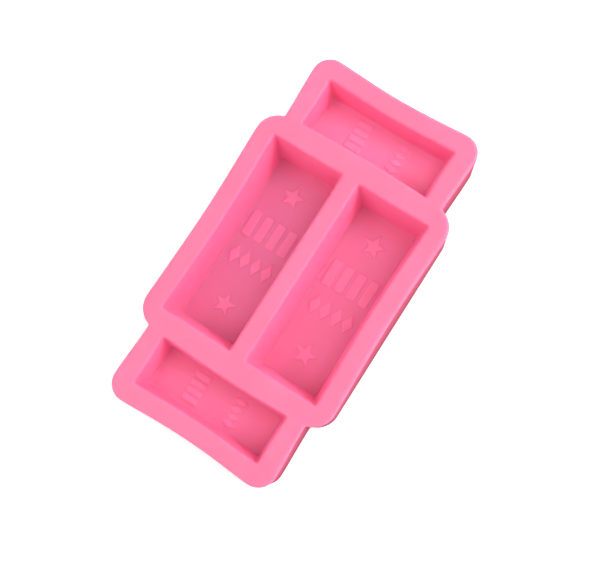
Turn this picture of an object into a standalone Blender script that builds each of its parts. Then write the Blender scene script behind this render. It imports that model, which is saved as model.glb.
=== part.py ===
"""A small silicone mould for soap bars: two long wells side by side and a smaller well across each end.

+X runs across the mould, +Y along it and +Z up, with the origin at the middle of the underside.
The silicone is one closed body. The raised motifs of the well floors are objects of their own,
each a small clearance above its floor, so that a floor can be left plain or given another motif.
"""

import math

import bmesh
import bpy
from mathutils import Vector

MM = 0.001

# Overall size.
LENGTH = 93.0 * MM
WIDTH = 51.0 * MM
HEIGHT = 15.0 * MM

# Middle block, which is the wide one.
MIDDLE_CORNER_RADIUS = 5.6 * MM
MIDDLE_HALF_LENGTH = 28.9 * MM

# End blocks, which are narrower and step in at the necks.
END_WIDTH = 43.6 * MM
END_CORNER_RADIUS = 4.5 * MM
NECK_RADIUS = 0.6 * MM

# The rim pulls in between its corners. The base is straight.
RIM_NECK_WIDTH = 42.6 * MM
RIM_SIDE_PULL = 0.6 * MM
RIM_END_PULL = 0.8 * MM
BASE_NECK_WIDTH = 43.0 * MM

# Soft edges.
RIM_ROUNDING = 0.9 * MM
MOUTH_ROUNDING = 0.6 * MM
BASE_ROUNDING = 0.5 * MM
WELL_CORNER_RADIUS = 0.5 * MM

# Long wells. The divider is the wall between them.
DIVIDER = 4.2 * MM
LONG_WELL_WIDTH = 18.7 * MM
LONG_WELL_LENGTH = 47.8 * MM
LONG_WELL_DEPTH = 12.0 * MM
LONG_WELL_SIDE_DRAFT = 1.8 * MM
LONG_WELL_END_DRAFT = 1.6 * MM

# End wells, turned across the mould and shallower.
END_WELL_WIDTH = 33.6 * MM
END_WELL_LENGTH = 12.3 * MM
END_WELL_CENTRE = 35.35 * MM
END_WELL_DEPTH = 8.2 * MM
END_WELL_SIDE_DRAFT = 1.3 * MM
END_WELL_END_DRAFT = 0.95 * MM

# How far each well's sides bow into it at mid-length.
OUTER_BOW = 0.65 * MM
END_OUTER_BOW = 0.57 * MM
END_INNER_BOW = 0.45 * MM
SLIGHT_BOW = 0.15 * MM
FLOOR_BOW_SHARE = 0.4

# Floor motifs.
FLOOR_CLEARANCE = 0.3 * MM
MOTIF_HEIGHT = 0.45 * MM
MOTIF_CHAMFER = 0.12 * MM
STAR_RADIUS = 3.1 * MM
STAR_WAIST = 0.44
STAR_POINTS = 5
STAR_PLACE = 15.2 * MM
SHAPES_IN_ROW = 4
BAR_ROW_LENGTH = 12.6 * MM
BAR_ROW_HEIGHT = 6.9 * MM
BAR_ROW_PLACE = 4.8 * MM
DIAMOND_ROW_LENGTH = 12.0 * MM
DIAMOND_ROW_HEIGHT = 5.2 * MM
DIAMOND_ROW_PLACE = -3.8 * MM
END_ROW_LENGTH = 7.6 * MM
END_BAR_ROW_HEIGHT = 4.1 * MM
END_DIAMOND_ROW_HEIGHT = 3.8 * MM
END_ROW_PLACE = 5.4 * MM
BAR_SHARE = 0.72
DIAMOND_SHARE = 0.9
BAR_CORNER_SHARE = 0.25
STRIP_HEIGHT = 1.0 * MM
STRIP_THICKNESS = 0.15 * MM
STRIP_LIFT = 0.05 * MM
STRIP_CHAMFER = 0.04 * MM

# Segments.
SIDE_STEPS = 7
CORNER_STEPS = 6
NECK_STEPS = 3
END_SIDE_STEPS = 4
END_STEPS = 6
WELL_SIDE_STEPS = 8
WELL_CORNER_STEPS = 2
ROUNDING_STEPS = 4
BASE_STEPS = 2

SILICONE_PINK = (0.97, 0.25, 0.43, 1.0)
MOTIF_PINK = (0.98, 0.31, 0.49, 1.0)
SILICONE_ROUGHNESS = 0.45

# Edges that turn by more than this are shaded sharp.
SHARP_ANGLE = math.radians(35.0)


def clear_scene():
    for existing in list(bpy.data.objects):
        bpy.data.objects.remove(existing)


def silicone(name, color):
    material = bpy.data.materials.new(name)
    material.use_nodes = True
    shader = material.node_tree.nodes["Principled BSDF"]
    shader.inputs["Base Color"].default_value = color
    shader.inputs["Roughness"].default_value = SILICONE_ROUGHNESS
    shader.inputs["Metallic"].default_value = 0.0
    material.diffuse_color = color
    return material


def pull_in(share):
    """How far along its pull a side is, from 1 at mid-length to a smooth 0 at its corners."""
    return (1.0 - share * share) ** 1.5


def arc(centre, radius, start, end, steps):
    """Points on an arc, both ends included. Angles are in radians."""
    angles = [start + (end - start) * step / steps for step in range(steps + 1)]
    return [Vector((centre[0] + radius * math.cos(a), centre[1] + radius * math.sin(a))) for a in angles]


def quarter_outline(side_pull, end_pull, neck_width):
    """The mould's outline in its +X +Y quarter, from the X axis round to the Y axis."""
    middle = (WIDTH / 2 - MIDDLE_CORNER_RADIUS, MIDDLE_HALF_LENGTH - MIDDLE_CORNER_RADIUS)
    end = (END_WIDTH / 2 - END_CORNER_RADIUS, LENGTH / 2 - END_CORNER_RADIUS)
    points = []
    for step in range(SIDE_STEPS):
        share = step / SIDE_STEPS
        points.append(Vector((WIDTH / 2 - side_pull * pull_in(share), share * middle[1])))
    # The neck's fillet touches the middle block's corner and the end block's side.
    reach = MIDDLE_CORNER_RADIUS + NECK_RADIUS
    fillet_x = neck_width / 2 + NECK_RADIUS
    fillet = (fillet_x, middle[1] + math.sqrt(reach**2 - (fillet_x - middle[0]) ** 2))
    touch = math.atan2(fillet[1] - middle[1], fillet[0] - middle[0])
    points += arc(middle, MIDDLE_CORNER_RADIUS, 0.0, touch, CORNER_STEPS)
    points += arc(fillet, NECK_RADIUS, touch + math.pi, math.pi, NECK_STEPS)[1:]
    for step in range(1, END_SIDE_STEPS):
        share = step / END_SIDE_STEPS
        flare = share * share * (3.0 - 2.0 * share)
        x = neck_width / 2 + (END_WIDTH - neck_width) / 2 * flare
        points.append(Vector((x, fillet[1] + (end[1] - fillet[1]) * share)))
    points += arc(end, END_CORNER_RADIUS, 0.0, math.pi / 2, CORNER_STEPS)
    for step in range(1, END_STEPS + 1):
        share = 1.0 - step / END_STEPS
        points.append(Vector((end[0] * share, LENGTH / 2 - end_pull * pull_in(share))))
    return points


def whole_outline(*pulls):
    """The closed outline, anticlockwise from above."""
    quarter = quarter_outline(*pulls)
    half = quarter + [Vector((-p.x, p.y)) for p in reversed(quarter[:-1])]
    return half[:-1] + [-p for p in half[:-1]]


def well_outline(low, high, bows):
    """A four-sided outline between two corners, whose -Y, +X, +Y and -X sides bow inwards."""
    r = WELL_CORNER_RADIUS
    right, top, left, bottom = high[0] - r, high[1] - r, low[0] + r, low[1] + r
    corners = ((right, bottom), (right, top), (left, top), (left, bottom))
    points = []
    for index, bow in enumerate(bows):
        start = Vector(corners[index - 1])
        finish = Vector(corners[index])
        out = Vector((finish - start).normalized().yx)
        out.y = -out.y
        for step in range(1, WELL_SIDE_STEPS):
            share = step / WELL_SIDE_STEPS
            along = start.lerp(finish, share)
            points.append(along + out * (r - bow * pull_in(2.0 * share - 1.0)))
        turn = math.atan2(out.y, out.x)
        points += arc(finish, r, turn, turn + math.pi / 2, WELL_CORNER_STEPS)
    return points


def inset(loop, distance):
    """A closed anticlockwise loop moved inwards, with mitred corners."""
    moved = []
    for index, point in enumerate(loop):
        before = (point - loop[index - 1]).normalized()
        after = (loop[(index + 1) % len(loop)] - point).normalized()
        out = Vector((before.y, -before.x))
        bisector = (out + Vector((after.y, -after.x))).normalized()
        moved.append(point - bisector * (distance / bisector.dot(out)))
    return moved


def between(first, second, share):
    return [a.lerp(b, share) for a, b in zip(first, second)]


def quarter_round(radius, steps):
    """Pairs of sideways and upward distances still to go, from the wall's top to the flat's edge."""
    turns = [math.pi / 2 * step / steps for step in range(steps + 1)]
    return [(radius * (1.0 - math.cos(t)), radius * (1.0 - math.sin(t))) for t in turns]


def add_ring(mesh, loop, height):
    return [mesh.verts.new((point.x, point.y, height)) for point in loop]


def bridge(mesh, rings):
    for lower, upper in zip(rings, rings[1:]):
        for index in range(len(lower)):
            follower = (index + 1) % len(lower)
            mesh.faces.new((lower[index], lower[follower], upper[follower], upper[index]))


def add_outer_wall(mesh):
    """The wall from the underside to the flat rim. Returns the rim's edge ring."""
    base = whole_outline(0.0, 0.0, BASE_NECK_WIDTH)
    rim = whole_outline(RIM_SIDE_PULL, RIM_END_PULL, RIM_NECK_WIDTH)
    rings = []
    for aside, drop in reversed(quarter_round(BASE_ROUNDING, BASE_STEPS)):
        rings.append(add_ring(mesh, inset(between(base, rim, drop / HEIGHT), aside), drop))
    for aside, drop in quarter_round(RIM_ROUNDING, ROUNDING_STEPS):
        height = HEIGHT - drop
        rings.append(add_ring(mesh, inset(between(base, rim, height / HEIGHT), aside), height))
    bridge(mesh, rings)
    mesh.faces.new(rings[0])
    return rings[-1]


def add_well(mesh, low, high, depth, drafts, bows):
    """A well from its mouth down to its floor. Returns the ring where the flat rim ends."""
    floor_low = (low[0] + drafts[0], low[1] + drafts[1])
    floor_high = (high[0] - drafts[0], high[1] - drafts[1])
    floor_bows = [bow * FLOOR_BOW_SHARE for bow in bows]
    mouth = well_outline(low, high, bows)
    floor = well_outline(floor_low, floor_high, floor_bows)
    rings = [add_ring(mesh, floor, HEIGHT - depth)]
    for aside, drop in quarter_round(MOUTH_ROUNDING, ROUNDING_STEPS):
        rings.append(add_ring(mesh, inset(between(mouth, floor, drop / depth), -aside), HEIGHT - drop))
    bridge(mesh, rings)
    mesh.faces.new(rings[0])
    return rings[-1]


def ring_edges(mesh, ring):
    return [mesh.edges.get((ring[index - 1], vertex)) for index, vertex in enumerate(ring)]


def object_from(mesh, name, material, location=(0.0, 0.0, 0.0)):
    """An object that holds a bmesh, which is freed."""
    bmesh.ops.recalc_face_normals(mesh, faces=mesh.faces)
    data = bpy.data.meshes.new(name)
    mesh.to_mesh(data)
    mesh.free()
    data.materials.append(material)
    return place(data, name, location)


def place(data, name, location):
    placed = bpy.data.objects.new(name, data)
    placed.location = location
    bpy.context.collection.objects.link(placed)
    return placed


def make_body(material):
    """The one-piece silicone moulding."""
    mesh = bmesh.new()
    flat_rings = [add_outer_wall(mesh)]
    long_low = (DIVIDER / 2, -LONG_WELL_LENGTH / 2)
    long_high = (DIVIDER / 2 + LONG_WELL_WIDTH, LONG_WELL_LENGTH / 2)
    drafts = (LONG_WELL_SIDE_DRAFT, LONG_WELL_END_DRAFT)
    right_bows = (SLIGHT_BOW, OUTER_BOW, SLIGHT_BOW, 0.0)
    left_bows = (SLIGHT_BOW, 0.0, SLIGHT_BOW, OUTER_BOW)
    flat_rings.append(add_well(mesh, long_low, long_high, LONG_WELL_DEPTH, drafts, right_bows))
    left_low = (-long_high[0], long_low[1])
    left_high = (-long_low[0], long_high[1])
    flat_rings.append(add_well(mesh, left_low, left_high, LONG_WELL_DEPTH, drafts, left_bows))
    drafts = (END_WELL_SIDE_DRAFT, END_WELL_END_DRAFT)
    rear_bows = (END_INNER_BOW, SLIGHT_BOW, END_OUTER_BOW, SLIGHT_BOW)
    front_bows = (END_OUTER_BOW, SLIGHT_BOW, END_INNER_BOW, SLIGHT_BOW)
    for side, bows in ((1, rear_bows), (-1, front_bows)):
        centre = side * END_WELL_CENTRE
        low = (-END_WELL_WIDTH / 2, centre - END_WELL_LENGTH / 2)
        high = (END_WELL_WIDTH / 2, centre + END_WELL_LENGTH / 2)
        flat_rings.append(add_well(mesh, low, high, END_WELL_DEPTH, drafts, bows))
    edges = [edge for ring in flat_rings for edge in ring_edges(mesh, ring)]
    bmesh.ops.triangle_fill(mesh, edges=edges, use_beauty=True, normal=(0.0, 0.0, 1.0))
    body = object_from(mesh, "mould_body", material)
    body.data.shade_smooth()
    body.data.set_sharp_from_angle(angle=SHARP_ANGLE)
    return body


def add_prism(mesh, outline, bottom, top, chamfer):
    """A closed upright prism with a chamfered top."""
    rings = [
        add_ring(mesh, outline, bottom),
        add_ring(mesh, outline, top - chamfer),
        add_ring(mesh, inset(outline, chamfer), top),
    ]
    bridge(mesh, rings)
    mesh.faces.new(rings[0])
    mesh.faces.new(rings[-1])


def star_outline():
    """A plain five-pointed star, one point towards +Y."""
    points = []
    for index in range(2 * STAR_POINTS):
        radius = STAR_RADIUS if index % 2 == 0 else STAR_RADIUS * STAR_WAIST
        angle = math.pi / 2 + math.pi * index / STAR_POINTS
        points.append(Vector((radius * math.cos(angle), radius * math.sin(angle))))
    return points


def bar_outline(width, height):
    """An upright block with rounded corners."""
    r = width * BAR_CORNER_SHARE
    centres = ((width / 2 - r, height / 2 - r), (r - width / 2, height / 2 - r))
    upper = arc(centres[0], r, 0.0, math.pi / 2, WELL_CORNER_STEPS)
    upper += arc(centres[1], r, math.pi / 2, math.pi, WELL_CORNER_STEPS)
    return upper + [-p for p in upper]


def diamond_outline(width, height):
    half = [Vector((width / 2, 0.0)), Vector((0.0, height / 2))]
    return half + [-p for p in half]


def row_mesh(name, outline_of, share, length, height, material):
    """Equal shapes in a row along X, joined by a low strip at their feet into one body."""
    pitch = length / (SHAPES_IN_ROW - 1 + share)
    shapes = bmesh.new()
    for index in range(SHAPES_IN_ROW):
        centre = Vector(((index - (SHAPES_IN_ROW - 1) / 2) * pitch, 0.0))
        outline = [point + centre for point in outline_of(pitch * share, height)]
        add_prism(shapes, outline, 0.0, MOTIF_HEIGHT, MOTIF_CHAMFER)
    row = object_from(shapes, name, material)
    strip_mesh = bmesh.new()
    half = pitch * (SHAPES_IN_ROW - 1) / 2
    corners = ((half, -STRIP_HEIGHT / 2), (half, STRIP_HEIGHT / 2))
    strip_outline = [Vector(corner) for corner in corners] + [-Vector(corner) for corner in corners]
    add_prism(strip_mesh, strip_outline, STRIP_LIFT, STRIP_LIFT + STRIP_THICKNESS, STRIP_CHAMFER)
    strip = object_from(strip_mesh, name + "_strip", material)
    union = row.modifiers.new("join", "BOOLEAN")
    union.operation = "UNION"
    union.object = strip
    bpy.context.view_layer.update()
    depsgraph = bpy.context.evaluated_depsgraph_get()
    data = bpy.data.meshes.new_from_object(row.evaluated_get(depsgraph))
    data.name = name
    bpy.data.objects.remove(row)
    bpy.data.objects.remove(strip)
    return data


def make_stars(material):
    mesh = bmesh.new()
    add_prism(mesh, star_outline(), 0.0, MOTIF_HEIGHT, MOTIF_CHAMFER)
    bmesh.ops.recalc_face_normals(mesh, faces=mesh.faces)
    data = bpy.data.meshes.new("star")
    mesh.to_mesh(data)
    mesh.free()
    data.materials.append(material)
    floor = HEIGHT - LONG_WELL_DEPTH + FLOOR_CLEARANCE
    centre = (DIVIDER + LONG_WELL_WIDTH) / 2
    for well, x in (("left", -centre), ("right", centre)):
        for place_name, y in (("rear", STAR_PLACE), ("front", -STAR_PLACE)):
            place(data, f"{well}_well_{place_name}_star", (x, y, floor))


def make_long_well_rows(material):
    bars = row_mesh("bar_row", bar_outline, BAR_SHARE, BAR_ROW_LENGTH, BAR_ROW_HEIGHT, material)
    diamonds = row_mesh(
        "diamond_row", diamond_outline, DIAMOND_SHARE, DIAMOND_ROW_LENGTH, DIAMOND_ROW_HEIGHT, material)
    floor = HEIGHT - LONG_WELL_DEPTH + FLOOR_CLEARANCE
    centre = (DIVIDER + LONG_WELL_WIDTH) / 2
    for well, x in (("left", -centre), ("right", centre)):
        place(bars, f"{well}_well_bar_row", (x, BAR_ROW_PLACE, floor))
        place(diamonds, f"{well}_well_diamond_row", (x, DIAMOND_ROW_PLACE, floor))


def make_end_well_rows(material):
    """The same rows, smaller and turned to run along Y."""
    bars = row_mesh("end_bar_row", bar_outline, BAR_SHARE, END_ROW_LENGTH, END_BAR_ROW_HEIGHT, material)
    diamonds = row_mesh(
        "end_diamond_row", diamond_outline, DIAMOND_SHARE, END_ROW_LENGTH, END_DIAMOND_ROW_HEIGHT, material)
    floor = HEIGHT - END_WELL_DEPTH + FLOOR_CLEARANCE
    for well, y in (("rear", END_WELL_CENTRE), ("front", -END_WELL_CENTRE)):
        for kind, data, x in (("bar", bars, -END_ROW_PLACE), ("diamond", diamonds, END_ROW_PLACE)):
            row = place(data, f"{well}_well_{kind}_row", (x, y, floor))
            row.rotation_euler.z = math.pi / 2


def main():
    clear_scene()
    make_body(silicone("silicone", SILICONE_PINK))
    motif = silicone("silicone_motif", MOTIF_PINK)
    make_stars(motif)
    make_long_well_rows(motif)
    make_end_well_rows(motif)


main()
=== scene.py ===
"""The looks of the small silicone soap bar mould, built round its CAD frame.

The real mould is one piece, so one continuous silicone skin with soft edges and fused floor motifs
stands in for the body and the motif solids. Everything is in metres, +Z up.
"""

import math

import bmesh
import bpy
from mathutils import Matrix, Vector, noise
from mathutils.geometry import delaunay_2d_cdt


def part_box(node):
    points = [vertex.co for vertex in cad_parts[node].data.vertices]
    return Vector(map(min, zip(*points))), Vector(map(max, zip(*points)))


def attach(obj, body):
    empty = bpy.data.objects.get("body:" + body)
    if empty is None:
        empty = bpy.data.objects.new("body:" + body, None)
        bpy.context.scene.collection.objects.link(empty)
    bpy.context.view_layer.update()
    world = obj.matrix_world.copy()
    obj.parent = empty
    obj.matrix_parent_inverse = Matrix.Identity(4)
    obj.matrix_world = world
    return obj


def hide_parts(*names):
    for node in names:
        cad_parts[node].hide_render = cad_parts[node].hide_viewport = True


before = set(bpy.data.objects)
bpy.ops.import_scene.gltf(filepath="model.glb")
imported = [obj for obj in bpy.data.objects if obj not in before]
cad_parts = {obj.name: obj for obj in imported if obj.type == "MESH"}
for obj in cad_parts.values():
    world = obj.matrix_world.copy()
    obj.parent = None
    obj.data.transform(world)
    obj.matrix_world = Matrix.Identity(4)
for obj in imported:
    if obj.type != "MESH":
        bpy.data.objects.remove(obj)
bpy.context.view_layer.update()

MM = 0.001

# Driving sizes, read from the frame.
BODY_LOW, BODY_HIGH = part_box("mould_body")
LENGTH = BODY_HIGH[1] - BODY_LOW[1]
WIDTH = BODY_HIGH[0] - BODY_LOW[0]
HEIGHT = BODY_HIGH[2] - BODY_LOW[2]

# The design's other sizes.
MIDDLE_CORNER_RADIUS = 5.6 * MM
MIDDLE_HALF_LENGTH = 28.9 * MM
END_WIDTH = 43.6 * MM
END_CORNER_RADIUS = 4.5 * MM
NECK_RADIUS = 0.6 * MM
RIM_NECK_WIDTH = 42.6 * MM
RIM_SIDE_PULL = 0.6 * MM
RIM_END_PULL = 0.8 * MM
BASE_NECK_WIDTH = 43.0 * MM
DIVIDER = 4.2 * MM
LONG_WELL_SIZE = (18.7 * MM, 47.8 * MM)
LONG_WELL_DEPTH = 12.0 * MM
LONG_WELL_DRAFTS = (1.8 * MM, 1.6 * MM)
END_WELL_SIZE = (33.6 * MM, 12.3 * MM)
END_WELL_CENTRE = 35.35 * MM
END_WELL_DEPTH = 8.2 * MM
END_WELL_DRAFTS = (1.3 * MM, 0.95 * MM)
OUTER_BOW = 0.65 * MM
END_OUTER_BOW = 0.57 * MM
END_INNER_BOW = 0.45 * MM
SLIGHT_BOW = 0.15 * MM

# How much of a mouth's bow its floor has, and the powers that curve the wells' walls and the sides.
FLOOR_BOW_SHARE = 0.4
WALL_CURVE = 1.5
PULL_POWER = 1.5

# Soft edges.
RIM_ROUNDING = 0.9 * MM
MOUTH_ROUNDING = 0.6 * MM
BASE_ROUNDING = 0.5 * MM
FLOOR_FILLET = 0.5 * MM
WELL_CORNER_RADIUS = 0.5 * MM
SMALLEST_CORNER = 0.2 * MM
FLAT_MARGIN = 0.3 * MM
FLOOR_MARGIN = 0.1 * MM

# Floor motifs.
RELIEF_HEIGHT = 0.17 * MM
RELIEF_FOOT = 0.10 * MM
RELIEF_SHOULDER = 0.14 * MM
STAR_POINTS = 5
STAR_WAIST = 0.44
SHAPES_IN_ROW = 4
BAR_SHARE = 0.72
DIAMOND_SHARE = 0.9
BAR_CORNER_SHARE = 0.25
TIP_ROUNDING = 0.22 * MM

# What the material reads at each point, as three shares: how much of a lighter tone it has (painted
# light on some wells' floors, and the motifs' lighter tops), how deep inside a well it is, which sets
# the walls' and floors' painted shade (0 on the rim, WALL_SHADE_SHARE on the walls, 1 on the dullest
# floor), and how much of the outer side's painted shade it has.
WALL_SHADE_SHARE = 0.5

# The first two shares on each well's floor: its painted light and its painted shade.
FLOOR_LIGHT_AND_SHADE = {
    "left_well": (0.0, 1.0),
    "right_well": (0.1, 0.9),
    "rear_well": (0.55, 0.6),
    "front_well": (0.1, 0.8),
}

# How much more of the lighter tone a motif has.
MOTIF_LIFT = 0.33

# How much of a floor's painted shade beyond WALL_SHADE_SHARE is left at its rear edge, and how far
# from there it is whole.
REAR_SHADE_SHARE = 0.5
FLOOR_SHADE_REACH = 5.0 * MM

# The third share, the outer side's painted shade, just below the rim, at the foot and underneath.
SIDE_SHADE_TOP = 0.55
SIDE_SHADE_FOOT = 0.90
UNDERSIDE_SHADE_SHARE = 0.6

# Mesh density.
SIDE_STEPS = 22
CORNER_STEPS = 14
NECK_STEPS = 5
END_SIDE_STEPS = 12
END_STEPS = 18
WELL_CORNER_STEPS = 4
WELL_POINT_GAP = 0.9 * MM
ROUNDING_STEPS = 8
WALL_STEPS = 6
FILLET_STEPS = 5
RELIEF_STEPS = 6
TIP_STEPS = 4
RIM_GRID = 1.0 * MM
FLOOR_GRID = 0.8 * MM
MOTIF_GRID = 0.6 * MM
UNDERSIDE_GRID = 1.6 * MM

# Filling a flat, in grid units: the distance that points keep from the rings, the gap between rows
# of points, and how many marks stand for one unit of a ring. The last is the fill's precision.
GRID_CLEARANCE = 0.6
GRID_ROW_SHARE = math.sqrt(0.75)
MARKS_PER_GRID = 2.0
FILL_PRECISION = 1e-9

# The silicone's slight unevenness, always towards the inside of the wall.
WAVE_DEPTH = 0.06 * MM
WAVE_LENGTH = 14.0 * MM
WAVE_CLEAR_HEIGHT = 0.6 * MM

# Camera.
CAMERA_PLACE = Vector((34.9, -20.8, 229.2)) * MM
CAMERA_AIM = Vector((1.1, -4.1, 0.0)) * MM
CAMERA_TURN = math.radians(32.7)
CAMERA_LENS = 58.9
CAMERA_SENSOR = 36.0

# Stage. Each softbox has a name, a place, a size in metres and a power in watts.
FLOOR_SIZE = 4.0
FLOOR_DROP = 0.02 * MM
SKY_STRENGTH = 0.93
SOFTBOXES = (
    ("key_softbox", Vector((0.6, 0.39, 0.49)), 0.3, 4.4),
    ("top_softbox", Vector((0.3, 0.3, 0.74)), 0.35, 1.5),
    ("fill_softbox", Vector((-0.34, -0.34, 0.7)), 0.35, 1.4),
)


# Outlines -----------------------------------------------------------------------------------------


def pull_in(share):
    """How far along its pull a side is, from 1 at mid-length to a smooth 0 at its corners."""
    return max(0.0, 1.0 - share * share) ** PULL_POWER


def smooth_step(share):
    """A share eased at both ends, and kept between 0 and 1."""
    share = max(0.0, min(1.0, share))
    return share * share * (3.0 - 2.0 * share)


def arc(centre, radius, start, end, steps):
    """Points on an arc, both ends included."""
    x, y = centre
    angles = [start + (end - start) * step / steps for step in range(steps + 1)]
    return [Vector((x + radius * math.cos(angle), y + radius * math.sin(angle))) for angle in angles]


def quarter_outline(side_pull, end_pull, neck_width):
    """The mould's outline in its +X +Y quarter, from the X axis round to the Y axis."""
    middle = (WIDTH / 2 - MIDDLE_CORNER_RADIUS, MIDDLE_HALF_LENGTH - MIDDLE_CORNER_RADIUS)
    end = (END_WIDTH / 2 - END_CORNER_RADIUS, LENGTH / 2 - END_CORNER_RADIUS)
    points = []
    for step in range(SIDE_STEPS):
        share = step / SIDE_STEPS
        points.append(Vector((WIDTH / 2 - side_pull * pull_in(share), share * middle[1])))
    reach = MIDDLE_CORNER_RADIUS + NECK_RADIUS
    fillet_x = neck_width / 2 + NECK_RADIUS
    fillet = (fillet_x, middle[1] + math.sqrt(reach**2 - (fillet_x - middle[0]) ** 2))
    touch = math.atan2(fillet[1] - middle[1], fillet[0] - middle[0])
    points += arc(middle, MIDDLE_CORNER_RADIUS, 0.0, touch, CORNER_STEPS)
    points += arc(fillet, NECK_RADIUS, touch + math.pi, math.pi, NECK_STEPS)[1:]
    for step in range(1, END_SIDE_STEPS):
        share = step / END_SIDE_STEPS
        x = neck_width / 2 + (END_WIDTH - neck_width) / 2 * smooth_step(share)
        points.append(Vector((x, fillet[1] + (end[1] - fillet[1]) * share)))
    points += arc(end, END_CORNER_RADIUS, 0.0, math.pi / 2, CORNER_STEPS)
    for step in range(1, END_STEPS + 1):
        share = 1.0 - step / END_STEPS
        points.append(Vector((end[0] * share, LENGTH / 2 - end_pull * pull_in(share))))
    return points


def whole_outline(*pulls):
    """The closed outline, anticlockwise from above."""
    quarter = quarter_outline(*pulls)
    half = quarter + [Vector((-point.x, point.y)) for point in reversed(quarter[:-1])]
    return half[:-1] + [-point for point in half[:-1]]


def well_outline(low, high, bows, steps, radius):
    """A four-sided outline between two corners, whose -Y, +X, +Y and -X sides bow inwards."""
    left, bottom = low[0] + radius, low[1] + radius
    right, top = high[0] - radius, high[1] - radius
    corners = ((right, bottom), (right, top), (left, top), (left, bottom))
    points = []
    for index, bow in enumerate(bows):
        start = Vector(corners[index - 1])
        finish = Vector(corners[index])
        out = Vector((finish - start).normalized().yx)
        out.y = -out.y
        for step in range(1, steps[index % 2]):
            share = step / steps[index % 2]
            aside = radius - bow * pull_in(2.0 * share - 1.0)
            points.append(start.lerp(finish, share) + out * aside)
        turn = math.atan2(out.y, out.x)
        points += arc(finish, radius, turn, turn + math.pi / 2, WELL_CORNER_STEPS)
    return points


def inset(loop, distance):
    """A closed anticlockwise loop moved inwards, with mitred corners."""
    moved = []
    for index, point in enumerate(loop):
        before = (point - loop[index - 1]).normalized()
        after = (loop[(index + 1) % len(loop)] - point).normalized()
        out = Vector((before.y, -before.x))
        bisector = (out + Vector((after.y, -after.x))).normalized()
        moved.append(point - bisector * (distance / bisector.dot(out)))
    return moved


def between(first, second, share):
    """The loop that lies a share of the way from one loop to another."""
    return [point.lerp(match, share) for point, match in zip(first, second)]


def quarter_round(radius, steps):
    """Pairs of the distance moved sideways and the distance left to the flat, from wall to flat."""
    turns = [math.pi / 2 * step / steps for step in range(steps + 1)]
    return [(radius * (1.0 - math.cos(turn)), radius * (1.0 - math.sin(turn))) for turn in turns]


def rounded(corners, rounding):
    """A closed outline whose corners are small curves."""
    points = []
    for index, corner in enumerate(corners):
        before = (corners[index - 1] - corner).normalized()
        after = (corners[(index + 1) % len(corners)] - corner).normalized()
        start = corner + before * rounding
        finish = corner + after * rounding
        for step in range(TIP_STEPS + 1):
            share = step / TIP_STEPS
            points.append(start.lerp(corner, share).lerp(corner.lerp(finish, share), share))
    return points


def star_shape(centre, radius):
    """A plain five-pointed star, one point towards +Y, with the rounding of its corners."""
    corners = []
    for index in range(2 * STAR_POINTS):
        reach = radius if index % 2 == 0 else radius * STAR_WAIST
        angle = math.pi / 2 + math.pi * index / STAR_POINTS
        corners.append(centre + Vector((reach * math.cos(angle), reach * math.sin(angle))))
    return corners, TIP_ROUNDING


def bar_shape(centre, across, along):
    """An upright block, with the rounding of its corners."""
    signs = ((1, -1), (1, 1), (-1, 1), (-1, -1))
    corners = [centre + Vector((across / 2 * x, along / 2 * y)) for x, y in signs]
    return corners, min(across, along) * BAR_CORNER_SHARE


def diamond_shape(centre, across, along):
    """An upright diamond, with the rounding of its corners."""
    signs = ((1, 0), (0, 1), (-1, 0), (0, -1))
    corners = [centre + Vector((across / 2 * x, along / 2 * y)) for x, y in signs]
    return corners, TIP_ROUNDING


# The skin -----------------------------------------------------------------------------------------


def inside(loop, x, y):
    """True if a point lies inside a closed loop."""
    hit = False
    for index, point in enumerate(loop):
        last = loop[index - 1]
        if (point.y > y) != (last.y > y):
            if x < (last.x - point.x) * (y - point.y) / (last.y - point.y) + point.x:
                hit = not hit
    return hit


def even(light, depth, side):
    """The same tone at every point."""
    return lambda point: (light, depth, side)


def well_light_and_shade(rear, light, ground, wall=0.0, mouth=1.0):
    """The painted light and shade inside a well.

    Wall goes from 0 on the floor to 1 on the walls, and mouth from 1 below to 0 at the rim.
    """
    def tone(point):
        ahead = smooth_step((rear - point.y) / FLOOR_SHADE_REACH)
        share = (REAR_SHADE_SHARE + (1.0 - REAR_SHADE_SHARE) * ahead) * (1.0 - wall)
        return (light * (1.0 - wall), (WALL_SHADE_SHARE + (ground - WALL_SHADE_SHARE) * share) * mouth, 0.0)
    return tone


def side_shade_tone(height):
    """The outer side's painted shade, which deepens towards the foot."""
    share = SIDE_SHADE_FOOT + (SIDE_SHADE_TOP - SIDE_SHADE_FOOT) * height / HEIGHT
    return even(0.0, 0.0, share)


PLAIN = even(0.0, 0.0, 0.0)
# Painted shade underneath, like that of the outer sides.
UNDERSIDE_SHADE = even(0.0, 0.0, UNDERSIDE_SHADE_SHARE)


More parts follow.
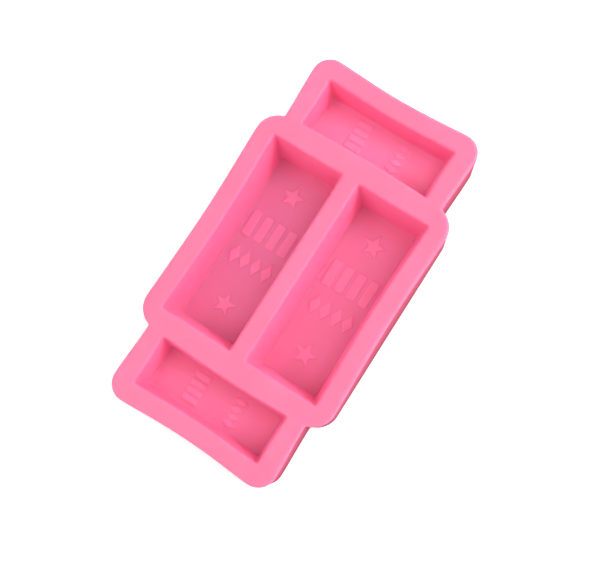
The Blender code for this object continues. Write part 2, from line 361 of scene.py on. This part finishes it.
class Skin:
    """One closed mesh, made of rings bridged into walls and of flats filled between rings."""

    def __init__(self):
        self.mesh = bmesh.new()
        self.tones = {}

    def vertex(self, point, height, tone):
        """One vertex, with its tone noted."""
        made = self.mesh.verts.new((point.x, point.y, height))
        self.tones[made] = tone(point)
        return made

    def ring(self, loop, height, tone):
        """A loop of vertices at one height."""
        return [self.vertex(point, height, tone) for point in loop]

    def bridge(self, rings):
        """Quads between each ring and the next."""
        for lower, upper in zip(rings, rings[1:]):
            for index in range(len(lower)):
                follower = (index + 1) % len(lower)
                self.mesh.faces.new((lower[index], lower[follower], upper[follower], upper[index]))

    def fill(self, outer, holes, grid, tone):
        """A flat between an outer ring and any holes, with even triangles."""
        rings = [outer, *holes]
        loops = [[Vector(vertex.co.xy) for vertex in ring] for ring in rings]
        vertices = [vertex for ring in rings for vertex in ring]
        points = [point for loop in loops for point in loop]
        edges = []
        first = 0
        for loop in loops:
            edges += [(first + index, first + (index + 1) % len(loop)) for index in range(len(loop))]
            first += len(loop)
        height = outer[0].co.z
        for point in self.grid_points(loops, grid):
            points.append(point)
            vertices.append(self.vertex(point, height, tone))
        _, _, faces, originals, _, _ = delaunay_2d_cdt(points, edges, [], 0, FILL_PRECISION)
        for face in faces:
            corners = [originals[index][0] for index in face]
            middle = sum((points[index] for index in corners), Vector((0.0, 0.0))) / len(corners)
            if inside(loops[0], *middle) and not any(inside(loop, *middle) for loop in loops[1:]):
                self.mesh.faces.new([vertices[index] for index in corners])

    @staticmethod
    def grid_points(loops, grid):
        """Points of a triangular grid that keep clear of the rings."""
        near = {}
        for loop in loops:
            for index, point in enumerate(loop):
                marks = math.ceil(MARKS_PER_GRID * (point - loop[index - 1]).length / grid)
                for step in range(marks):
                    mark = point.lerp(loop[index - 1], step / marks)
                    near.setdefault((int(mark.x // grid), int(mark.y // grid)), []).append(mark)
        across = [point.x for point in loops[0]]
        along = [point.y for point in loops[0]]
        low_x, high_x = min(across), max(across)
        low_y, high_y = min(along), max(along)
        found = []
        clearance = GRID_CLEARANCE * grid
        row_gap = grid * GRID_ROW_SHARE
        for row in range(1, int((high_y - low_y) / row_gap) + 1):
            y = low_y + row * row_gap
            for column in range(int((high_x - low_x) / grid) + 1):
                x = low_x + (column + 0.5 * (row % 2)) * grid
                cell_x, cell_y = int(x // grid), int(y // grid)
                cells = [(cell_x + i, cell_y + j) for i in (-1, 0, 1) for j in (-1, 0, 1)]
                marks = [mark for cell in cells for mark in near.get(cell, ())]
                if any((mark.x - x) ** 2 + (mark.y - y) ** 2 < clearance**2 for mark in marks):
                    continue
                if inside(loops[0], x, y) and not any(inside(loop, x, y) for loop in loops[1:]):
                    found.append(Vector((x, y)))
        return found


def add_outer_wall(skin):
    """The underside and the outer wall, up to the flat rim. Returns the flat rim's edge ring."""
    base = whole_outline(0.0, 0.0, BASE_NECK_WIDTH)
    rim = whole_outline(RIM_SIDE_PULL, RIM_END_PULL, RIM_NECK_WIDTH)
    rings = [skin.ring(inset(base, BASE_ROUNDING + FLAT_MARGIN), 0.0, side_shade_tone(0.0))]
    for aside, drop in reversed(quarter_round(BASE_ROUNDING, FILLET_STEPS)):
        rings.append(skin.ring(inset(between(base, rim, drop / HEIGHT), aside), drop, side_shade_tone(drop)))
    for step in range(1, WALL_STEPS):
        height = BASE_ROUNDING + (HEIGHT - RIM_ROUNDING - BASE_ROUNDING) * step / WALL_STEPS
        rings.append(skin.ring(between(base, rim, height / HEIGHT), height, side_shade_tone(height)))
    for aside, drop in quarter_round(RIM_ROUNDING, ROUNDING_STEPS):
        height = HEIGHT - drop
        loop = inset(between(base, rim, height / HEIGHT), aside)
        # The side's painted shade starts halfway down the rim's rounding.
        side = SIDE_SHADE_TOP * max(0.0, 2.0 * drop / RIM_ROUNDING - 1.0)
        rings.append(skin.ring(loop, height, even(0.0, 0.0, side)))
    rings.append(skin.ring(inset(rim, RIM_ROUNDING + FLAT_MARGIN), HEIGHT, PLAIN))
    skin.bridge(rings)
    skin.fill(rings[0], [], UNDERSIDE_GRID, UNDERSIDE_SHADE)
    return rings[-1]


def well_loop(low, high, drafts, bows, share, aside):
    """A well's outline from its floor, share 0, to its mouth, share 1, moved inwards by a distance."""
    share = share**WALL_CURVE
    steps = [round((high[axis] - low[axis]) / WELL_POINT_GAP) for axis in (0, 1)]
    insets = [draft * (1.0 - share) + aside for draft in drafts]
    lower = [low[axis] + insets[axis] for axis in (0, 1)]
    upper = [high[axis] - insets[axis] for axis in (0, 1)]
    bent = [bow * (FLOOR_BOW_SHARE + (1.0 - FLOOR_BOW_SHARE) * share) for bow in bows]
    radius = max(SMALLEST_CORNER, WELL_CORNER_RADIUS - aside)
    return well_outline(lower, upper, bent, steps, radius)


def add_well(skin, name, low, high, depth, drafts, bows, axis):
    """A well from its floor and motifs up to its mouth. Returns the ring where the flat rim ends."""
    bottom = HEIGHT - depth
    # Pairs of a ring's rise above the floor and the distance that it is moved inwards.
    levels = [(0.0, FLOOR_FILLET + FLOOR_MARGIN)]
    levels += [(rise, aside) for aside, rise in reversed(quarter_round(FLOOR_FILLET, FILLET_STEPS))]
    for step in range(1, WALL_STEPS):
        levels.append((FLOOR_FILLET + (depth - MOUTH_ROUNDING - FLOOR_FILLET) * step / WALL_STEPS, 0.0))
    levels += [(depth - drop, -aside) for aside, drop in quarter_round(MOUTH_ROUNDING, ROUNDING_STEPS)]
    levels.append((depth, -(MOUTH_ROUNDING + FLAT_MARGIN)))
    rear = high[1] - drafts[1]
    # This well floor's painted light and painted shade.
    light, ground = FLOOR_LIGHT_AND_SHADE[name]
    rings = []
    for rise, aside in levels:
        loop = well_loop(low, high, drafts, bows, rise / depth, aside)
        wall = min(1.0, rise / FLOOR_FILLET)
        mouth = min(1.0, (depth - rise) / MOUTH_ROUNDING)
        rings.append(skin.ring(loop, bottom + rise, well_light_and_shade(rear, light, ground, wall, mouth)))
    skin.bridge(rings)
    tones = [well_light_and_shade(rear, share, ground) for share in (light, light + MOTIF_LIFT)]
    feet = [add_motif(skin, shape, bottom, tones) for shape in motifs_of(name, axis)]
    skin.fill(rings[0], feet, FLOOR_GRID, tones[0])
    return rings[-1]


def add_motif(skin, shape, bottom, tones):
    """A raised shape that swells softly out of the floor, from the first tone to the second.

    Returns the ring at its foot.
    """
    corners, rounding = shape
    rings = []
    for step in range(RELIEF_STEPS + 1):
        share = step / RELIEF_STEPS
        aside = RELIEF_SHOULDER * share - RELIEF_FOOT * (1.0 - share)
        rise = smooth_step(share)
        outline = rounded(inset(corners, aside), rounding)
        tone = tones[1] if 2 * step > RELIEF_STEPS else tones[0]
        rings.append(skin.ring(outline, bottom + RELIEF_HEIGHT * rise, tone))
    skin.bridge(rings)
    skin.fill(rings[-1], [], MOTIF_GRID, tones[1])
    return rings[0]


def place_of(name):
    """A node's centre and size, seen from above."""
    low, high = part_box(name)
    centre = Vector(((low[0] + high[0]) / 2, (low[1] + high[1]) / 2))
    return centre, Vector((high[0] - low[0], high[1] - low[1]))


def star_of(name):
    """A star's outline. Its centre is below the middle of its box: its lower points reach less far."""
    centre, size = place_of(name)
    radius = size.y / (1.0 + math.cos(math.pi / STAR_POINTS))
    return star_shape(centre + Vector((0.0, size.y / 2 - radius)), radius)


def row_of(name, shape_of, share, axis):
    """The shapes of a row, which runs along the axis given."""
    centre, size = place_of(name)
    pitch = size[axis] / (SHAPES_IN_ROW - 1 + share)
    shapes = []
    for index in range(SHAPES_IN_ROW):
        place = centre.copy()
        place[axis] += (index - (SHAPES_IN_ROW - 1) / 2) * pitch
        spans = [size.x, size.y]
        spans[axis] = pitch * share
        shapes.append(shape_of(place, *spans))
    return shapes


def motifs_of(well, axis):
    """All the raised shapes on a well's floor."""
    names = [name for name in sorted(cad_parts) if name.startswith(well)]
    found = [star_of(name) for name in names if name.endswith("star")]
    found += row_of(f"{well}_bar_row", bar_shape, BAR_SHARE, axis)
    return found + row_of(f"{well}_diamond_row", diamond_shape, DIAMOND_SHARE, axis)


def wave(mesh):
    """Gives the skin a slight unevenness, inwards only, and none at its foot."""
    mesh.normal_update()
    moves = []
    for vertex in mesh.verts:
        height = min(1.0, max(0.0, vertex.co.z / WAVE_CLEAR_HEIGHT - 1.0))
        swell = 0.5 + 0.5 * max(-1.0, min(1.0, noise.noise(vertex.co / WAVE_LENGTH)))
        moves.append(-vertex.normal * (WAVE_DEPTH * swell * height))
    for vertex, move in zip(mesh.verts, moves):
        vertex.co += move


def make_skin():
    """The whole mould, as one mesh that carries its tones."""
    skin = Skin()
    flats = [add_outer_wall(skin)]
    half = LONG_WELL_SIZE[1] / 2
    near, far = DIVIDER / 2, DIVIDER / 2 + LONG_WELL_SIZE[0]
    long_wells = (
        ("left_well", (-far, -half), (-near, half), (SLIGHT_BOW, 0.0, SLIGHT_BOW, OUTER_BOW)),
        ("right_well", (near, -half), (far, half), (SLIGHT_BOW, OUTER_BOW, SLIGHT_BOW, 0.0)),
    )
    for name, low, high, bows in long_wells:
        flats.append(add_well(skin, name, low, high, LONG_WELL_DEPTH, LONG_WELL_DRAFTS, bows, 0))
    across, along = END_WELL_SIZE
    end_wells = (
        ("rear_well", END_WELL_CENTRE, (END_INNER_BOW, SLIGHT_BOW, END_OUTER_BOW, SLIGHT_BOW)),
        ("front_well", -END_WELL_CENTRE, (END_OUTER_BOW, SLIGHT_BOW, END_INNER_BOW, SLIGHT_BOW)),
    )
    for name, centre, bows in end_wells:
        low, high = (-across / 2, centre - along / 2), (across / 2, centre + along / 2)
        flats.append(add_well(skin, name, low, high, END_WELL_DEPTH, END_WELL_DRAFTS, bows, 1))
    skin.fill(flats[0], flats[1:], RIM_GRID, PLAIN)
    mesh = skin.mesh
    bmesh.ops.recalc_face_normals(mesh, faces=mesh.faces)
    mesh.verts.index_update()
    tones = [share for vertex in mesh.verts for share in skin.tones[vertex]]
    wave(mesh)
    data = bpy.data.meshes.new("mould_skin")
    mesh.to_mesh(data)
    mesh.free()
    data.attributes.new("tone", "FLOAT_VECTOR", "POINT").data.foreach_set("vector", tones)
    data.shade_smooth()
    piece = bpy.data.objects.new("mould_skin", data)
    bpy.context.collection.objects.link(piece)
    return piece


# Materials ----------------------------------------------------------------------------------------


# A mix node's colour sockets, by number, because its sockets share their names.
MIX_SHARE, MIX_FIRST, MIX_SECOND, MIX_RESULT = 0, 6, 7, 2


class Nodes:
    """A short way to write a material's node tree."""

    def __init__(self, name):
        self.material = bpy.data.materials.new(name)
        self.material.use_nodes = True
        self.tree = self.material.node_tree
        self.shader = self.tree.nodes["Principled BSDF"]

    def add(self, kind, settings=None, **inputs):
        node = self.tree.nodes.new(kind)
        for key, value in (settings or {}).items():
            setattr(node, key, value)
        for key, value in inputs.items():
            socket = node.inputs[key.replace("_", " ")]
            if isinstance(value, bpy.types.NodeSocket):
                self.tree.links.new(value, socket)
            else:
                socket.default_value = value
        return node

    def link(self, output, socket):
        self.tree.links.new(output, self.shader.inputs[socket])

    def noise(self, scale, detail=2.0, roughness=0.5):
        place = self.add("ShaderNodeTexCoord").outputs["Object"]
        node = self.add(
            "ShaderNodeTexNoise", Vector=place, Scale=scale, Detail=detail, Roughness=roughness)
        return node.outputs["Fac"]

    def ramp(self, value, low, high, to_low, to_high):
        ranged = self.add(
            "ShaderNodeMapRange", Value=value, From_Min=low, From_Max=high, To_Min=to_low, To_Max=to_high)
        return ranged.outputs["Result"]

    def mix(self, share, first, second):
        node = self.add("ShaderNodeMix", {"data_type": "RGBA"})
        for number, value in ((MIX_SHARE, share), (MIX_FIRST, first), (MIX_SECOND, second)):
            if isinstance(value, bpy.types.NodeSocket):
                self.tree.links.new(value, node.inputs[number])
            else:
                node.inputs[number].default_value = value
        return node.outputs[MIX_RESULT]


# The silicone's tones: the rim's, which varies at random between two, the walls' and floors' painted
# shade, a lighter pink for painted light on some floors and for the motifs' tops, and the outer
# sides' painted shade.
SILICONE_RIM = (0.870, 0.181, 0.326, 1.0)
SILICONE_RIM_DEEP = (0.850, 0.169, 0.306, 1.0)
SILICONE_WALL_SHADE = (0.870, 0.161, 0.331, 1.0)
SILICONE_FLOOR_SHADE = (0.690, 0.174, 0.347, 1.0)
SILICONE_PAINTED_LIGHT_AND_MOTIF = (0.900, 0.240, 0.450, 1.0)
SILICONE_SIDE_SHADE = (0.240, 0.044, 0.062, 1.0)

# Its clouding, smears and grain: their noise's scales and the bands of it that show, the bumps of
# the grain, and the roughness between which the smears vary.
CLOUD_SCALE = 90.0
CLOUD_BAND = (0.35, 0.65)
SMEAR_SCALE = 260.0
SMEAR_BAND = (0.3, 0.7)
GRAIN_SCALE = 5200.0
GRAIN_STRENGTH = 0.08
GRAIN_HEIGHT = 0.04 * MM
ROUGHNESS_LOW = 0.46
ROUGHNESS_HIGH = 0.60

# How light enters it and comes off it.
SILICONE_IOR = 1.41
SILICONE_SPECULAR = 0.5
SILICONE_TINT = (1.0, 0.9, 0.55, 1.0)
SCATTER_SCALE = 2.5 * MM
SCATTER_RADIUS = (1.0, 0.32, 0.45)

# The floor.
FLOOR_WHITE = (0.93, 0.93, 0.93, 1.0)
FLOOR_GREY = (0.90, 0.90, 0.90, 1.0)
FLOOR_SPECK_SCALE = 12.0
FLOOR_SPECK_BAND = (0.3, 0.7)
FLOOR_GLOW = 0.30
WHITE = (1.0, 1.0, 1.0, 1.0)


def silicone():
    """A satin pink with light scattering below its surface, and with its tones, painted light and shade
    among them, read from the mesh.
    """
    nodes = Nodes("pink_silicone")
    tone = nodes.add("ShaderNodeAttribute", {"attribute_name": "tone"}).outputs["Vector"]
    shares = nodes.add("ShaderNodeSeparateXYZ", Vector=tone).outputs
    light, depth, side = shares["X"], shares["Y"], shares["Z"]
    cloud = nodes.ramp(nodes.noise(CLOUD_SCALE, detail=3.0), *CLOUD_BAND, 0.0, 1.0)
    base = nodes.mix(cloud, SILICONE_RIM, SILICONE_RIM_DEEP)
    # Painted shade: the walls a deeper pink and the floors duller than the rim.
    base = nodes.mix(nodes.ramp(depth, 0.0, WALL_SHADE_SHARE, 0.0, 1.0), base, SILICONE_WALL_SHADE)
    base = nodes.mix(nodes.ramp(depth, WALL_SHADE_SHARE, 1.0, 0.0, 1.0), base, SILICONE_FLOOR_SHADE)
    # Painted light on some wells' floors, and the motifs' lighter tops.
    base = nodes.mix(light, base, SILICONE_PAINTED_LIGHT_AND_MOTIF)
    # Painted shade on the outer sides, deepening towards the foot.
    base = nodes.mix(side, base, SILICONE_SIDE_SHADE)
    nodes.link(base, "Base Color")
    # The outer sides' painted shade also takes away their gloss and their light scattering.
    nodes.link(nodes.ramp(side, 0.0, SIDE_SHADE_TOP, SILICONE_SPECULAR, 0.0), "Specular IOR Level")
    nodes.link(nodes.ramp(side, 0.0, SIDE_SHADE_TOP, 1.0, 0.0), "Subsurface Weight")
    smear = nodes.noise(SMEAR_SCALE, detail=4.0, roughness=0.6)
    nodes.link(nodes.ramp(smear, *SMEAR_BAND, ROUGHNESS_LOW, ROUGHNESS_HIGH), "Roughness")
    grain = nodes.noise(GRAIN_SCALE, detail=2.0, roughness=0.6)
    bump = nodes.add("ShaderNodeBump", Height=grain, Strength=GRAIN_STRENGTH, Distance=GRAIN_HEIGHT)
    nodes.link(bump.outputs["Normal"], "Normal")
    nodes.shader.inputs["Subsurface Radius"].default_value = SCATTER_RADIUS
    nodes.shader.inputs["Subsurface Scale"].default_value = SCATTER_SCALE
    nodes.shader.inputs["IOR"].default_value = SILICONE_IOR
    nodes.shader.inputs["Specular Tint"].default_value = SILICONE_TINT
    return nodes.material


def floor_paint():
    """A white that glows slightly, so that the background comes out pure white as in the photo."""
    nodes = Nodes("pale_floor")
    speck = nodes.ramp(nodes.noise(FLOOR_SPECK_SCALE), *FLOOR_SPECK_BAND, 0.0, 1.0)
    nodes.link(nodes.mix(speck, FLOOR_WHITE, FLOOR_GREY), "Base Color")
    nodes.shader.inputs["Roughness"].default_value = 0.9
    nodes.shader.inputs["Specular IOR Level"].default_value = 0.1
    nodes.shader.inputs["Emission Color"].default_value = WHITE
    nodes.shader.inputs["Emission Strength"].default_value = FLOOR_GLOW
    return nodes.material


# Stage --------------------------------------------------------------------------------------------


def make_floor():
    """The pale floor, just below the mould."""
    half = FLOOR_SIZE / 2
    data = bpy.data.meshes.new("pale_floor")
    corners = [(x * half, y * half, -FLOOR_DROP) for x, y in ((-1, -1), (1, -1), (1, 1), (-1, 1))]
    data.from_pydata(corners, [], [(0, 1, 2, 3)])
    data.materials.append(floor_paint())
    floor = bpy.data.objects.new("pale_floor", data)
    bpy.context.collection.objects.link(floor)


def add_softbox(name, place, size, power):
    """A square light that looks at the middle of the floor."""
    lamp = bpy.data.lights.new(name, "AREA")
    lamp.shape = "SQUARE"
    lamp.size = size
    lamp.energy = power
    box = bpy.data.objects.new(name, lamp)
    box.location = place
    box.rotation_euler = (-place).to_track_quat("-Z", "Y").to_euler()
    bpy.context.collection.objects.link(box)


def light_scene():
    """The softboxes and an even white sky."""
    for softbox in SOFTBOXES:
        add_softbox(*softbox)
    world = bpy.data.worlds.new("studio")
    world.use_nodes = True
    background = world.node_tree.nodes["Background"]
    background.inputs["Color"].default_value = WHITE
    background.inputs["Strength"].default_value = SKY_STRENGTH
    bpy.context.scene.world = world
    bpy.context.scene.view_settings.view_transform = "Standard"


def make_camera():
    """The camera at its place, turned about its own line of sight."""
    data = bpy.data.cameras.new("camera")
    data.lens = CAMERA_LENS
    data.sensor_width = CAMERA_SENSOR
    camera = bpy.data.objects.new("camera", data)
    ahead = (CAMERA_AIM - CAMERA_PLACE).normalized()
    right = ahead.cross(Vector((-math.sin(CAMERA_TURN), math.cos(CAMERA_TURN), 0.0))).normalized()
    up = right.cross(ahead)
    turn = Matrix((right, up, -ahead)).transposed().to_4x4()
    camera.matrix_world = Matrix.Translation(CAMERA_PLACE) @ turn
    bpy.context.collection.objects.link(camera)
    bpy.context.scene.camera = camera


make_camera()
light_scene()
make_floor()
skin_piece = make_skin()
skin_piece.data.materials.append(silicone())
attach(skin_piece, "root")
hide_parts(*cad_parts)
